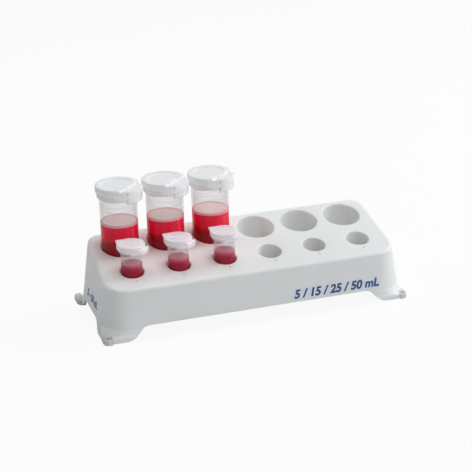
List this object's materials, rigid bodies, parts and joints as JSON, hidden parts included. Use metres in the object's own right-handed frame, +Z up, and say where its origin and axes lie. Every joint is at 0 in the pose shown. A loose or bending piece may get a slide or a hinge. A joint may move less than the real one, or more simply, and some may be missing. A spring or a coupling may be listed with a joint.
{
  "type": "microcentrifuge tube rack",
  "caption": "White sloping bench rack with two rows of round wells, arched legs and soft feet, holding lidded conical tubes of red liquid.",
  "frame": {"origin": "on the bench, at the middle of the footprint", "axes": "+X along the rows of wells to the right, +Y to the back, +Z up"},
  "size_m": [0.2524, 0.0968, 0.1039],
  "materials": {
    "rack_plastic": "satin white moulded polypropylene",
    "foot_rubber": "soft beige elastomer",
    "tube_plastic": "clear moulded polypropylene",
    "lid_plastic": "milky frosted polypropylene",
    "red_liquid": "clear red liquid"
  },
  "bodies": {
    "rack": {"rack": "rack_plastic", "foot_front_left": "foot_rubber", "foot_front_right": "foot_rubber", "foot_back_left": "foot_rubber", "foot_back_right": "foot_rubber", "large_tube_1": "tube_plastic", "large_tube_2": "tube_plastic", "large_tube_3": "tube_plastic", "small_tube_1": "tube_plastic", "small_tube_2": "tube_plastic", "small_tube_3": "tube_plastic", "large_liquid_1": "red_liquid", "large_liquid_2": "red_liquid", "large_liquid_3": "red_liquid", "small_liquid_1": "red_liquid", "small_liquid_2": "red_liquid", "small_liquid_3": "red_liquid"},
    "large_lid_1": {"large_lid_1": "lid_plastic"},
    "large_lid_2": {"large_lid_2": "lid_plastic"},
    "large_lid_3": {"large_lid_3": "lid_plastic"},
    "small_lid_1": {"small_lid_1": "lid_plastic"},
    "small_lid_2": {"small_lid_2": "lid_plastic"},
    "small_lid_3": {"small_lid_3": "lid_plastic"}
  },
  "joints": [
    {"name": "large_lid_1_hinge", "type": "hinge", "parent": "rack", "child": "large_lid_1", "pos_m": [-0.07895, 0.00287, 0.09837], "axis": [0.7193, 0.6947, 0], "range_deg": [0, 35]},
    {"name": "large_lid_2_hinge", "type": "hinge", "parent": "rack", "child": "large_lid_2", "pos_m": [-0.04195, 0.00287, 0.09837], "axis": [0.7193, 0.6947, 0], "range_deg": [0, 35]},
    {"name": "large_lid_3_hinge", "type": "hinge", "parent": "rack", "child": "large_lid_3", "pos_m": [-0.00495, 0.00287, 0.09837], "axis": [0.7193, 0.6947, 0], "range_deg": [0, 115]},
    {"name": "small_lid_1_hinge", "type": "hinge", "parent": "rack", "child": "small_lid_1", "pos_m": [-0.08284, -0.0275, 0.06339], "axis": [0.7193, 0.6947, 0], "range_deg": [0, 115]},
    {"name": "small_lid_2_hinge", "type": "hinge", "parent": "rack", "child": "small_lid_2", "pos_m": [-0.04584, -0.0275, 0.06339], "axis": [0.7193, 0.6947, 0], "range_deg": [0, 115]},
    {"name": "small_lid_3_hinge", "type": "hinge", "parent": "rack", "child": "small_lid_3", "pos_m": [-0.00884, -0.0275, 0.06339], "axis": [0.7193, 0.6947, 0], "range_deg": [0, 115]}
  ]
}
